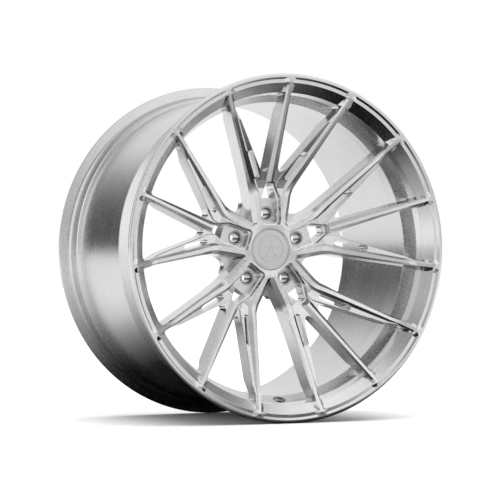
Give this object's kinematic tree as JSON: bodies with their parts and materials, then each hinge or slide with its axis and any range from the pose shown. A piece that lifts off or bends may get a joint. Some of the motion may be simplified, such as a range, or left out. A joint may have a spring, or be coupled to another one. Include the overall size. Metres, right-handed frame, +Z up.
{
  "type": "forged racing wheel rim",
  "caption": "Deep concave forged wheel: trident spoke groups rise from the hub to a stepped rim, with a wide barrel and a pull-off centre cap.",
  "frame": {"origin": "centre of the hub's mounting face, on the axle line", "axes": "+Z up with the first lug hole straight above the axle, +Y along the axle towards the car (inboard), outer face towards -Y"},
  "size_m": [0.549, 0.3044, 0.549],
  "materials": {
    "forged_face": "raw machined and brushed forging",
    "machined_back": "machined, satin",
    "rim_satin": "fine blasted satin with turned edges",
    "seat_steel": "turned steel",
    "cap_aluminium": "brushed with a bevelled rim",
    "spring_steel": "drawn spring wire",
    "seal_rubber": "matte"
  },
  "bodies": {
    "wheel": {"hub_pad": "machined_back", "hub_boss": "forged_face", "spoke_group_1": "forged_face", "spoke_group_2": "forged_face", "spoke_group_3": "forged_face", "spoke_group_4": "forged_face", "spoke_group_5": "forged_face", "outer_flange": "forged_face", "outer_bead_seat": "rim_satin", "well_front_wall": "rim_satin", "well_floor": "rim_satin", "well_slope": "rim_satin", "barrel": "rim_satin", "inner_bead_seat": "rim_satin", "inner_flange": "rim_satin", "lug_seats": "seat_steel"},
    "centre_cap": {"cap_shell": "cap_aluminium", "cap_badge": "cap_aluminium", "cap_spring_ring": "spring_steel", "cap_seal": "seal_rubber"}
  },
  "joints": [
    {"name": "cap_pull", "type": "slide", "parent": "wheel", "child": "centre_cap", "axis": [0, -1, 0], "range_m": [0, 0.02]}
  ]
}
